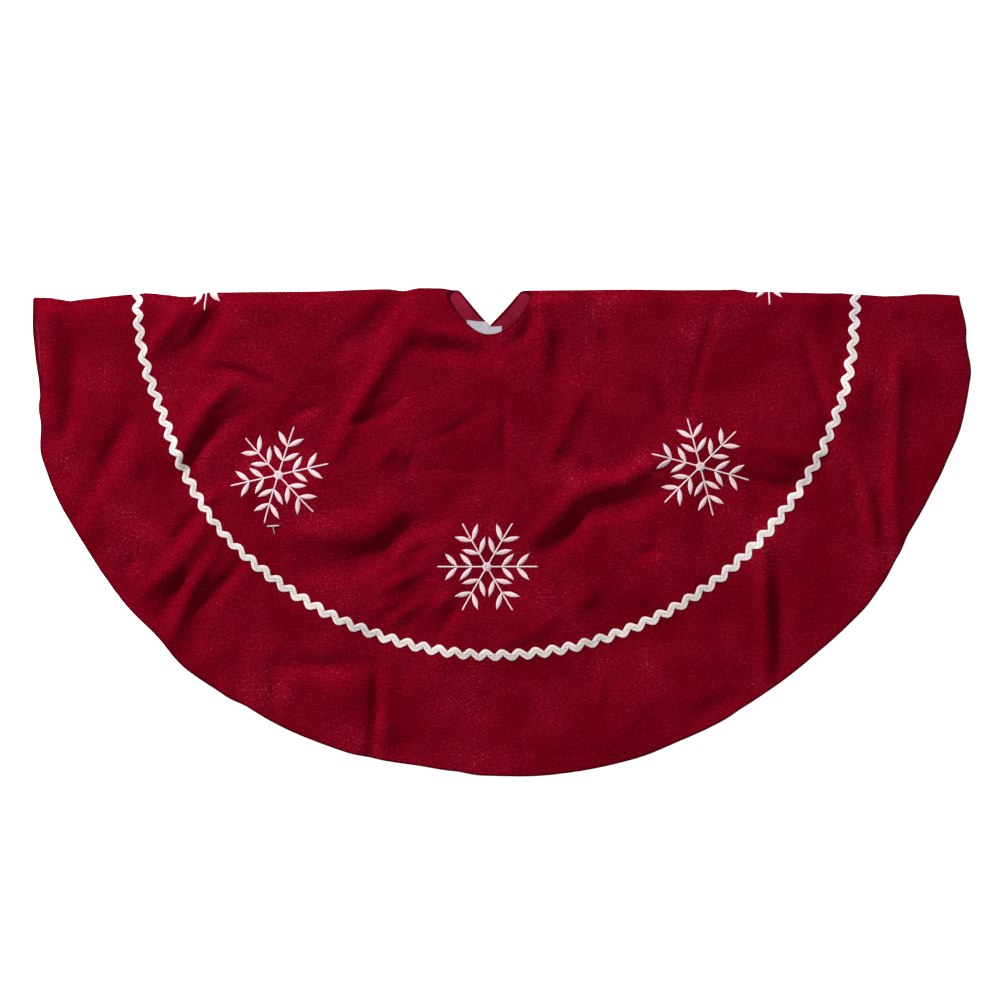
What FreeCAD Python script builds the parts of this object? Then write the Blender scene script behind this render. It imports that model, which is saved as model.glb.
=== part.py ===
import FreeCAD, Part
import math
import os

import Sketcher

# Round lined velvet tree skirt, folded in half and lying flat.
# Millimetres. The origin is the centre of the trunk hole, on the fold line, on the surface it lies on.
# +X runs along the fold, both halves reach towards -Y, and +Z is up.
# The front half lies on top with its velvet up. The back half, which has the slit, is under it with
# its velvet down, and turns about the fold line until both halves make one flat circle.

SIZES = [
    ("skirt_radius", 457, "radius of the open skirt, 36 inches across"),
    ("hole_radius", 38, "radius of the trunk hole"),
    ("slit_width", 2, "gap between the two edges of the slit"),
    ("stack_height", 6, "height of the folded skirt, both halves"),
    ("velvet_thickness", 1.6, "velvet with its pile"),
    ("lining_thickness", 0.4, "lining cloth"),
    ("lining_inset", 3, "how far the lining stays behind the turned velvet edges"),
    ("fold_start", 3.5, "distance from the hinge axis to where each half starts to curve"),
    ("fold_clearance", 0.3, "gap between the two halves at the tip of the fold"),
    ("braid_radius", 345, "centre line of the rickrack"),
    ("wave_count", 140, "rickrack waves in the whole circle"),
    ("braid_swing", 2.15, "how far the rickrack swings to each side"),
    ("braid_width", 6.2, "width of the rickrack band"),
    ("braid_thickness", 0.8, "thickness of the rickrack band"),
    ("thread_width", 0.8, "width of the stitch line on the rickrack"),
    ("thread_thickness", 0.3, "thickness of the stitch line"),
    ("ring_radius", 260, "distance of the snowflakes from the hole centre"),
    ("ring_step", 48.75, "degrees from one snowflake to the next"),
    ("flake_turn", 45, "degrees that each snowflake is turned against the one before"),
    ("flake_thickness", 0.7, "height of the satin stitches"),
    ("arm_length", 48, "snowflake centre to arm tip"),
    ("arm_width", 1.8, "width of an arm's stitch line"),
    ("leaf_length", 17.4, "length of a snowflake leaf"),
    ("leaf_width", 5.6, "greatest width of a leaf"),
    ("leaf_angle", 46.5, "degrees between a leaf and its arm"),
    ("inner_leaf", 13.8, "where the inner pair of leaves leaves the arm"),
    ("outer_leaf", 28, "where the outer pair of leaves leaves the arm"),
    ("disc_radius", 4.3, "knot at the centre of a snowflake"),
    ("label_width", 36, "care label along the neck"),
    ("label_length", 26, "care label from its free edge to the seam"),
    ("label_thickness", 0.3, "folded satin ribbon"),
    ("label_left", 30, "left edge of the label, left of the origin"),
    ("label_reach", 27, "free edge of the label below the origin"),
    ("tag_left", 212.5, "tag fastener left of the origin"),
    ("tag_down", 222, "tag fastener below the origin"),
    ("tag_bar_length", 12, "length of the fastener's T-bar"),
    ("tag_bar_radius", 0.6, "radius of the T-bar"),
    ("tag_filament_length", 7.5, "visible filament of the fastener"),
    ("tag_filament_radius", 0.35, "radius of the filament"),
    ("tab_width", 26, "closure tab along the slit"),
    ("tab_root", 22, "part of the tab sewn to the left edge"),
    ("tab_reach", 30, "part of the tab that laps over the right edge"),
    ("tab_thickness", 0.5, "closure tab cloth"),
    ("tab_first", 90, "first closure tab, from the hole centre"),
    ("tab_step", 145, "from one closure tab to the next"),
    ("pad_length", 20, "hook and loop pads across the slit"),
    ("pad_margin", 2, "from the free end of a tab to its pads"),
    ("pad_side", 1, "from the side edges of a tab to its pads"),
    ("pad_thickness", 0.6, "hook and loop pads"),
]

doc = FreeCAD.newDocument("tree_skirt")
sizes = doc.addObject("Spreadsheet::Sheet", "sizes")
for row, (alias, value, meaning) in enumerate(SIZES, start=1):
    sizes.set(f"A{row}", alias)
    sizes.set(f"B{row}", str(value))
    sizes.set(f"C{row}", meaning)
    sizes.setAlias(f"B{row}", alias)
doc.recompute()

parts = []                     # the finished sub-parts, one per file
ORIGIN = (-1, 1)               # a sketch's own origin, as constraints name it
START, END, CENTRE = 1, 2, 3   # the points of a sketch line or arc

TOP_HALF = "sizes.stack_height / 2"
FRONT_FACE = "sizes.stack_height"


def size(alias):
    """The number in one cell of the sheet."""
    return float(sizes.get(alias))


def polar(radius, angle):
    """Point at a radius and an angle in radians, in the plane z = 0."""
    return FreeCAD.Vector(radius * math.cos(angle), radius * math.sin(angle), 0)


def keep(obj, label):
    """Name a finished sub-part and put it on the list of files."""
    obj.Label = label
    parts.append(obj)
    return obj


def new_body(label):
    return keep(doc.addObject("PartDesign::Body", label), label)


def origin_feature(body, role):
    return next(item for item in body.Origin.OriginFeatures if item.Role == role)


def new_sketch(body, name, role, offset=None):
    """Sketch on one of the body's own planes, moved along its normal by an expression."""
    sketch = body.newObject("Sketcher::SketchObject", name)
    sketch.AttachmentSupport = (origin_feature(body, role), [""])
    sketch.MapMode = "FlatFace"
    if offset:
        sketch.setExpression("AttachmentOffset.Base.z", offset)
    return sketch


def bind(sketch, expression, *constraint):
    """Add a dimension and bind it to an expression."""
    index = sketch.addConstraint(Sketcher.Constraint(*constraint))
    sketch.setExpression(f"Constraints[{index}]", expression)


def join(sketch, first, first_point, second, second_point):
    sketch.addConstraint(Sketcher.Constraint("Coincident", first, first_point, second, second_point))


def pad(body, sketch, name, length):
    feature = body.newObject("PartDesign::Pad", name)
    feature.Profile = sketch
    feature.setExpression("Length", length)
    return feature


def value_of(expression):
    """The present value of an expression over the sheet."""
    return float(sizes.evalExpression(expression.replace("sizes.", "")))


# --- panels of velvet, lining and stitch line -------------------------------------------------

def ring_sketch(body, outer, inner, edges, z_low):
    """Part of a ring about the hole, below the fold. edges names what it starts and ends at."""
    sketch = new_sketch(body, "ring", "XY_Plane", z_low)
    fold, half_slit = size("fold_start"), size("slit_width") / 2
    for radius in (value_of(outer), value_of(inner)):
        starts = {"fold": math.pi + math.asin(fold / radius),
                  "slit": 1.5 * math.pi + math.asin(half_slit / radius)}
        ends = {"fold": 2 * math.pi - math.asin(fold / radius),
                "slit": 1.5 * math.pi - math.asin(half_slit / radius)}
        circle = Part.Circle(FreeCAD.Vector(), FreeCAD.Vector(0, 0, 1), radius)
        sketch.addGeometry(Part.ArcOfCircle(circle, starts[edges[0]], ends[edges[1]]), False)
    for point, position in ((START, 0), (END, 1)):
        line_ends = [sketch.getPoint(arc, point) for arc in (0, 1)]
        line = sketch.addGeometry(Part.LineSegment(*line_ends), False)
        join(sketch, 0, point, line, START)
        join(sketch, 1, point, line, END)
        if edges[position] == "fold":
            sketch.addConstraint(Sketcher.Constraint("Horizontal", line))
            bind(sketch, "sizes.fold_start", "DistanceY", 0, point, *ORIGIN, fold)
        else:
            sketch.addConstraint(Sketcher.Constraint("Vertical", line))
            pair = (0, point, *ORIGIN) if point == END else (*ORIGIN, 0, point)
            bind(sketch, "sizes.slit_width / 2", "DistanceX", *pair, half_slit)
    for arc, radius in ((0, outer), (1, inner)):
        join(sketch, arc, CENTRE, *ORIGIN)
        bind(sketch, radius, "Radius", arc, value_of(radius))
    return sketch


def roll_sketch(body, name, outer, thickness, upward, x_start):
    """Quarter ring from the flat part of a layer round to the middle of the fold."""
    sketch = new_sketch(body, name, "YZ_Plane", x_start)
    centre = FreeCAD.Vector(-size("fold_start"), value_of(TOP_HALF), 0)
    clearance = size("fold_clearance") / 2
    sign = 1 if upward else -1
    inner = f"{outer} - {thickness}"
    for radius in (value_of(outer), value_of(inner)):
        tip = sign * math.asin(clearance / radius)
        circle = Part.Circle(centre, FreeCAD.Vector(0, 0, 1), radius)
        first, last = sorted((tip, sign * math.pi / 2))
        sketch.addGeometry(Part.ArcOfCircle(circle, first, last), False)
    flat_end, tip_end = (END, START) if upward else (START, END)
    for point in (flat_end, tip_end):
        line_ends = [sketch.getPoint(arc, point) for arc in (0, 1)]
        line = sketch.addGeometry(Part.LineSegment(*line_ends), False)
        join(sketch, 0, point, line, START)
        join(sketch, 1, point, line, END)
        direction = "Vertical" if point == flat_end else "Horizontal"
        sketch.addConstraint(Sketcher.Constraint(direction, line))
    join(sketch, 0, CENTRE, 1, CENTRE)
    bind(sketch, "sizes.fold_start", "DistanceX", 0, CENTRE, *ORIGIN, size("fold_start"))
    bind(sketch, TOP_HALF, "DistanceY", *ORIGIN, 0, CENTRE, value_of(TOP_HALF))
    bind(sketch, "sizes.fold_start", "DistanceX", 0, flat_end, *ORIGIN, size("fold_start"))
    pair = (0, CENTRE, 0, tip_end) if upward else (0, tip_end, 0, CENTRE)
    bind(sketch, "sizes.fold_clearance / 2", "DistanceY", *pair, clearance)
    for arc, radius in ((0, outer), (1, inner)):
        bind(sketch, radius, "Radius", arc, value_of(radius))
    return sketch


def layer(label, half, edges, inset, thickness, edge_inset):
    """One cloth layer of a half: a flat part of a ring and its share of the fold on each side."""
    body = new_body(label)
    outer = f"sizes.skirt_radius - {edge_inset}"
    inner = f"sizes.hole_radius + {edge_inset}"
    front = half == "front"
    z_low = f"{FRONT_FACE} - {inset} - {thickness}" if front else inset
    pad(body, ring_sketch(body, outer, inner, edges, z_low), "flat_part", thickness)
    sides = [side for side, edge in (("left", edges[0]), ("right", edges[1])) if edge == "fold"]
    for side in sides:
        x_start = inner if side == "right" else f"-({outer})"
        roll = roll_sketch(body, f"roll_{side}", f"{TOP_HALF} - {inset}", thickness, front, x_start)
        pad(body, roll, f"fold_{side}", f"({outer}) - ({inner})")
    return body


HALVES = [("front", "front", ("fold", "fold")),
          ("back_left", "back", ("fold", "slit")),
          ("back_right", "back", ("slit", "fold"))]

for prefix, half, edges in HALVES:
    layer(f"{prefix}_velvet", half, edges, "0", "sizes.velvet_thickness", "0")
    layer(f"{prefix}_lining", half, edges, "sizes.velvet_thickness", "sizes.lining_thickness",
          "sizes.lining_inset")


# --- rickrack, sunk flush into the pile, and its stitch line ----------------------------------

def wavy_band(first_angle, waves):
    """Face of a rickrack band: tangent arcs that swing to each side of the braid radius."""
    radius, swing, half_width = size("braid_radius"), size("braid_swing"), size("braid_width") / 2
    step = math.pi / size("wave_count")
    closeness = math.cos(step / 2)
    out_centre = ((radius + swing) ** 2 - radius ** 2) / (2 * (radius + swing - radius * closeness))
    in_centre = out_centre * radius / (2 * out_centre * closeness - radius)
    edges = {1: [], -1: []}
    for half_wave in range(2 * waves):
        angle = first_angle + half_wave * step
        outward = half_wave % 2 == 0
        centre = polar(out_centre if outward else in_centre, angle + step / 2)
        bulge = polar(1, angle + step / 2) * (1 if outward else -1)
        spokes = [polar(radius, angle + turn) - centre for turn in (0, step)]
        for side, wall in edges.items():
            grow = side * half_width if outward else -side * half_width
            ends = [centre + spoke * ((spoke.Length + grow) / spoke.Length) for spoke in spokes]
            middle = centre + bulge * (spokes[0].Length + grow)
            wall.append(Part.Arc(ends[0], middle, ends[1]).toShape())
    caps = [Part.makeLine(edges[1][at].Vertexes[at].Point, edges[-1][at].Vertexes[at].Point)
            for at in (0, -1)]
    return Part.Face(Part.Wire(Part.__sortEdges__(edges[1] + edges[-1] + caps)))


def rickrack(prefix, first_angle, waves, z_low):
    """The braid of one panel."""
    braid = doc.addObject("Part::Feature", f"{prefix}_rickrack")
    thickness = size("braid_thickness")
    braid.Shape = wavy_band(first_angle, waves).extrude(FreeCAD.Vector(0, 0, thickness))
    braid.Placement = FreeCAD.Placement(FreeCAD.Vector(0, 0, z_low), FreeCAD.Rotation())
    return keep(braid, f"{prefix}_rickrack")


WAVE = 2 * math.pi / size("wave_count")
HALF_WAVES = int(size("wave_count") / 2) - 1
QUARTER_WAVES = int(size("wave_count") / 4) - 1
SUNK_BRAID = size("stack_height") - size("braid_thickness")
rickrack("front", math.pi + WAVE / 2, HALF_WAVES, SUNK_BRAID)
rickrack("back_left", math.pi + WAVE / 2, QUARTER_WAVES, 0)
rickrack("back_right", 1.5 * math.pi + WAVE / 2, QUARTER_WAVES, 0)

for prefix, half, edges in HALVES:
    stitch = new_body(f"{prefix}_rickrack_thread")
    z_low = f"{FRONT_FACE} - sizes.thread_thickness" if half == "front" else "0"
    rings = [f"sizes.braid_radius {sign} sizes.thread_width / 2" for sign in ("+", "-")]
    pad(stitch, ring_sketch(stitch, rings[0], rings[1], edges, z_low), "stitches",
        "sizes.thread_thickness")


# --- satin-stitch snowflakes, sunk flush into the pile ----------------------------------------

def leaf(sketch, base, side):
    """Pointed leaf between two equal arcs, growing from the arm at a distance from the centre."""
    angle = side * math.radians(size("leaf_angle"))
    root = FreeCAD.Vector(value_of(base), 0, 0)
    tip = root + polar(size("leaf_length"), angle)
    swell = polar(size("leaf_width") / 2, angle + math.pi / 2)
    spine = sketch.addGeometry(Part.LineSegment(root, tip), True)
    middle = (root + tip) / 2
    upper = sketch.addGeometry(Part.Arc(root, middle + swell, tip), False)
    lower = sketch.addGeometry(Part.Arc(tip, middle - swell, root), False)
    sketch.addConstraint(Sketcher.Constraint("PointOnObject", spine, START, -1))
    bind(sketch, base, "DistanceX", *ORIGIN, spine, START, value_of(base))
    bind(sketch, "sizes.leaf_length", "Distance", spine, size("leaf_length"))
    bind(sketch, f"{side} * sizes.leaf_angle * 1 deg", "Angle", spine, angle)
    bend = "(sizes.leaf_length ^ 2 / 4 + sizes.leaf_width ^ 2 / 4) / sizes.leaf_width"
    for arc in (upper, lower):
        spine_ends = (START, END) if root.distanceToPoint(sketch.getPoint(arc, START)) < 1e-6 \
            else (END, START)
        join(sketch, arc, START, spine, spine_ends[0])
        join(sketch, arc, END, spine, spine_ends[1])
        bind(sketch, bend, "Radius", arc, value_of(bend))


def snowflake(name, label=None):
    """Six-armed snowflake about its own centre, each arm with two pairs of leaves."""
    body = doc.addObject("PartDesign::Body", name)
    knot = new_sketch(body, "knot", "XY_Plane")
    knot.addGeometry(Part.Circle(FreeCAD.Vector(), FreeCAD.Vector(0, 0, 1), size("disc_radius")), False)
    join(knot, 0, CENTRE, *ORIGIN)
    bind(knot, "sizes.disc_radius", "Radius", 0, size("disc_radius"))
    pad(body, knot, "knot_pad", "sizes.flake_thickness")

    arm = new_sketch(body, "arm", "XY_Plane")
    long, half = size("arm_length"), size("arm_width") / 2
    corners = [FreeCAD.Vector(x, y, 0) for x, y in ((0, -half), (long, -half), (long, half), (0, half))]
    for index in range(4):
        arm.addGeometry(Part.LineSegment(corners[index], corners[(index + 1) % 4]), False)
    for index in range(4):
        join(arm, index, END, (index + 1) % 4, START)
        direction = "Horizontal" if index % 2 == 0 else "Vertical"
        arm.addConstraint(Sketcher.Constraint(direction, index))
    arm.addConstraint(Sketcher.Constraint("Symmetric", 0, START, 2, END, *ORIGIN))
    bind(arm, "sizes.arm_length", "DistanceX", 0, START, 0, END, long)
    bind(arm, "sizes.arm_width", "DistanceY", 1, START, 1, END, 2 * half)
    arm_pad = pad(body, arm, "arm_pad", "sizes.flake_thickness")

    leaves = new_sketch(body, "leaves", "XY_Plane")
    for base in ("sizes.inner_leaf", "sizes.outer_leaf"):
        for side in (1, -1):
            leaf(leaves, base, side)
    leaf_pad = pad(body, leaves, "leaf_pad", "sizes.flake_thickness")

    six = body.newObject("PartDesign::PolarPattern", "six_arms")
    six.Originals = [arm_pad, leaf_pad]
    six.Axis = (origin_feature(body, "Z_Axis"), [""])
    six.Angle = 360
    six.Occurrences = 6
    body.Tip = six
    return keep(body, label) if label else body


def place_snowflake(flake, step, half):
    """Put a snowflake on the ring, a number of steps from the front's middle."""
    angle = math.radians(270 + step * size("ring_step"))
    turn = step * size("flake_turn")
    place = polar(size("ring_radius"), angle)
    if half == "back":         # the back half is folded under, so it is a mirror image
        place.y = -place.y
        turn = -turn
    place.z = 0 if half == "back" else size("stack_height") - size("flake_thickness")
    flake.Placement = FreeCAD.Placement(place, FreeCAD.Rotation(FreeCAD.Vector(0, 0, 1), turn))


for name, step, half in (("snowflake_front_left", -1, "front"),
                         ("snowflake_front_centre", 0, "front"),
                         ("snowflake_front_right", 1, "front"),
                         ("snowflake_back_left", -3, "back"),
                         ("snowflake_back_right", 3, "back")):
    place_snowflake(snowflake(name, name), step, half)

# The two snowflakes on the fold are cut where each half starts to curve.
for name, step, half in (("snowflake_left_tip", -2, "front"),
                         ("snowflake_right_tip", 2, "front"),
                         ("snowflake_left_main", -2, "back"),
                         ("snowflake_right_main", 2, "back")):
    whole = snowflake(f"{name}_whole")
    place_snowflake(whole, step, half)
    below_fold = doc.addObject("Part::Box", f"{name}_limit")
    for side, expression in (("Length", "2 * sizes.skirt_radius"),
                             ("Width", "sizes.skirt_radius"),
                             ("Height", "2 * sizes.stack_height"),
                             ("Placement.Base.x", "-sizes.skirt_radius"),
                             ("Placement.Base.y", "-sizes.skirt_radius - sizes.fold_start"),
                             ("Placement.Base.z", "-sizes.stack_height / 2")):
        below_fold.setExpression(side, expression)
    cut = doc.addObject("Part::Common", f"{name}_cut")
    cut.Base = whole
    cut.Tool = below_fold
    keep(cut, name)


# --- care label and tag fastener --------------------------------------------------------------

def box(name, sides):
    """Box whose sides and place are bound to expressions."""
    block = doc.addObject("Part::Box", name)
    names = ("Length", "Width", "Height", "Placement.Base.x", "Placement.Base.y", "Placement.Base.z")
    for side, expression in zip(names, sides):
        block.setExpression(side, expression)
    return keep(block, name)


UNDER_FRONT = f"{FRONT_FACE} - sizes.velvet_thickness - sizes.lining_thickness"
box("care_label", ("sizes.label_width", "sizes.label_length", "sizes.label_thickness",
                   "-sizes.label_left", "-sizes.label_reach - sizes.label_length",
                   f"{UNDER_FRONT} - sizes.label_thickness"))

tag_bar = doc.addObject("Part::Cylinder", "tag_bar")
tag_bar.Placement.Rotation = FreeCAD.Rotation(FreeCAD.Vector(0, 1, 0), 90)
tag_filament = doc.addObject("Part::Cylinder", "tag_filament")
tag_filament.Placement.Rotation = FreeCAD.Rotation(FreeCAD.Vector(1, 0, 0), 90)
for piece, radius, length, x in (
        (tag_bar, "sizes.tag_bar_radius", "sizes.tag_bar_length",
         "-sizes.tag_left - sizes.tag_bar_length / 2"),
        (tag_filament, "sizes.tag_filament_radius", "sizes.tag_filament_length", "-sizes.tag_left")):
    piece.setExpression("Radius", radius)
    piece.setExpression("Height", length)
    piece.setExpression("Placement.Base.x", x)
    piece.setExpression("Placement.Base.y", "-sizes.tag_down")
    piece.setExpression("Placement.Base.z", FRONT_FACE)
tag = doc.addObject("Part::Fuse", "tag")
tag.Base = tag_bar
tag.Tool = tag_filament
keep(tag, "tag_fastener")


# --- closure of the slit, between the two halves ----------------------------------------------

ON_BACK_LINING = "sizes.velvet_thickness + sizes.lining_thickness"


def closure_tab(name, position):
    """Strip sewn to the left of the slit that steps up and laps over the pads on the right."""
    body = new_body(name)
    sketch = new_sketch(body, "profile", "XZ_Plane", position)
    low = value_of(ON_BACK_LINING)
    high = low + 2 * size("pad_thickness")
    thick, half_slit = size("tab_thickness"), size("slit_width") / 2
    outline = [(-size("tab_root"), low), (-2 * half_slit, low), (half_slit, high),
               (size("tab_reach"), high), (size("tab_reach"), high + thick),
               (half_slit, high + thick), (-2 * half_slit, low + thick), (-size("tab_root"), low + thick)]
    for index, point in enumerate(outline):
        following = outline[(index + 1) % len(outline)]
        sketch.addGeometry(Part.LineSegment(FreeCAD.Vector(*point, 0), FreeCAD.Vector(*following, 0)), False)
    for index in range(len(outline)):
        join(sketch, index, END, (index + 1) % len(outline), START)
    for index, direction in ((0, "Horizontal"), (2, "Horizontal"), (3, "Vertical"),
                             (4, "Horizontal"), (6, "Horizontal"), (7, "Vertical")):
        sketch.addConstraint(Sketcher.Constraint(direction, index))
    bind(sketch, ON_BACK_LINING, "DistanceY", *ORIGIN, 0, START, low)
    bind(sketch, "2 * sizes.pad_thickness", "DistanceY", 0, START, 2, START, high - low)
    for line in (3, 7):
        pair = (line, START, line, END) if line == 3 else (line, END, line, START)
        bind(sketch, "sizes.tab_thickness", "DistanceY", *pair, thick)
    bind(sketch, "sizes.tab_root", "DistanceX", 0, START, *ORIGIN, size("tab_root"))
    bind(sketch, "sizes.tab_reach", "DistanceX", *ORIGIN, 3, START, size("tab_reach"))
    for line, point in ((0, END), (6, START)):
        bind(sketch, "sizes.slit_width", "DistanceX", line, point, *ORIGIN, 2 * half_slit)
    for line, point in ((2, START), (4, END)):
        bind(sketch, "sizes.slit_width / 2", "DistanceX", *ORIGIN, line, point, half_slit)
    pad(body, sketch, "strip", "sizes.tab_width").Midplane = True


for number in (1, 2, 3):
    position = f"sizes.tab_first + {number - 1} * sizes.tab_step"
    closure_tab(f"closure_tab_{number}", position)
    for kind, level in (("loop_pad", "0"), ("hook_pad", "sizes.pad_thickness")):
        box(f"{kind}_{number}", ("sizes.pad_length", "sizes.tab_width - 2 * sizes.pad_side",
                                 "sizes.pad_thickness",
                                 "sizes.tab_reach - sizes.pad_length - sizes.pad_margin",
                                 f"-({position}) - sizes.tab_width / 2 + sizes.pad_side",
                                 f"{ON_BACK_LINING} + {level}"))


# --- check and write --------------------------------------------------------------------------

doc.recompute()
failed = [obj.Label for obj in doc.Objects if {"Invalid", "Error"} & set(obj.State)]
if failed:
    raise RuntimeError(f"objects failed to recompute: {failed}")
for part in parts:
    if part.Shape.isNull() or not part.Shape.isValid() or not part.Shape.Solids:
        raise RuntimeError(f"{part.Label} has no valid solid")

os.makedirs("parts", exist_ok=True)
for part in parts:
    part.Shape.exportStep(f"parts/{part.Label}.step")
    bounds = part.Shape.BoundBox
    print(f"{part.Label:28s} {part.Shape.Volume:10.1f} mm3, {len(part.Shape.Solids)} solid(s), "
          f"z {bounds.ZMin:.2f} to {bounds.ZMax:.2f}")
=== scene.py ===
import math

import bmesh
import bpy
import numpy as np
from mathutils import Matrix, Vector


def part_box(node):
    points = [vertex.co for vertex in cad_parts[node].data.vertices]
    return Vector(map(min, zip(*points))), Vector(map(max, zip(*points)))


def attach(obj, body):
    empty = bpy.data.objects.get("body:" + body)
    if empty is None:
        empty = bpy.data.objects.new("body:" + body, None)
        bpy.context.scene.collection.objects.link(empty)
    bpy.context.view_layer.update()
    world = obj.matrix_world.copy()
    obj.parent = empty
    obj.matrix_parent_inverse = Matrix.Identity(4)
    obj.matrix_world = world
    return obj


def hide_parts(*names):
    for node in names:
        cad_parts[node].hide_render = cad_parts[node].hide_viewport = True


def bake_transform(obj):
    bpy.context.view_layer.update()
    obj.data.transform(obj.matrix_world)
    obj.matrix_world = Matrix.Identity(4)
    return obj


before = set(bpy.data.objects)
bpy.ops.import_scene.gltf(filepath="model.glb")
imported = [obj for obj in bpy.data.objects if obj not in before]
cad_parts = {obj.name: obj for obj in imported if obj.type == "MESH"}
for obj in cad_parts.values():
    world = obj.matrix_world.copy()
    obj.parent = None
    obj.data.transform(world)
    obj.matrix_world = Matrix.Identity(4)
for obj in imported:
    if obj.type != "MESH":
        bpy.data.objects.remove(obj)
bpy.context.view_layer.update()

# A round velvet tree skirt, folded in half and laid flat, with its velvet face outside.
# Everything is built as a flat pattern first: u runs along the fold, v runs across it, and h is the
# height above the velvet's face. v below 0 is the front half, v above 0 the back half, which is
# folded under. drape() then lays the pattern over the creased shape that the cloth has at rest.

MM = 0.001

# --- sizes from the frame ---------------------------------------------------------------------

front_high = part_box("front_velvet")[1]
SKIRT_RADIUS = front_high.x
STACK = front_high.z                                    # height of the folded skirt
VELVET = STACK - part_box("front_lining")[1].z            # thickness of the velvet
LINING = 0.4 * MM
NECK_LIP = 1.5 * MM                                     # velvet seen beyond the lining at the neck
LINING_INSET = SKIRT_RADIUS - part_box("front_lining")[1].x
HOLE_RADIUS = 38 * MM
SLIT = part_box("back_right_velvet")[0].x                 # half the slit's width
BRAID_RADIUS = 345 * MM
BRAID_SWING = 2.55 * MM
BRAID_WIDTH = 6.0 * MM
BRAID_HEIGHT = 0.85 * MM
WAVES = 140                                             # rickrack waves in the whole circle
RING_RADIUS = 260 * MM
RING_STEP = math.radians(48.75)
FLAKE_TURN = math.radians(45)
ARM_LENGTH = 48 * MM
ARM_WIDTH = 1.45 * MM
LEAF_LENGTH = 17.4 * MM
LEAF_WIDTH = 4.5 * MM
LEAF_ANGLE = math.radians(46.5)
LEAF_BASES = (13.8 * MM, 28 * MM)
KNOT_RADIUS = 4.3 * MM
UNDER_STITCHES = -0.3 * MM                              # how deep the embroidery sits in the pile
FOLD_RUN = 1.5 * MM                                     # curved pattern on each side of the fold
TRIM_ROOM = 1.35                                        # millimetres left under it for its trim
GRID = 4 * MM                                           # spacing of the finished cloth mesh
SHEET_SHARP = math.radians(50)                          # edges sharper than this stay sharp
TRIM_SHARP = math.radians(60)


def link_object(name, data):
    obj = bpy.data.objects.new(name, data)
    bpy.context.scene.collection.objects.link(obj)
    return obj


def grid_points(*coordinates):
    """Rows of coordinates, from arrays that together span a grid."""
    spread_out = np.broadcast_arrays(*coordinates)
    return np.stack(spread_out, axis=-1).reshape(-1, len(coordinates))


# --- creases ----------------------------------------------------------------------------------

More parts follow.
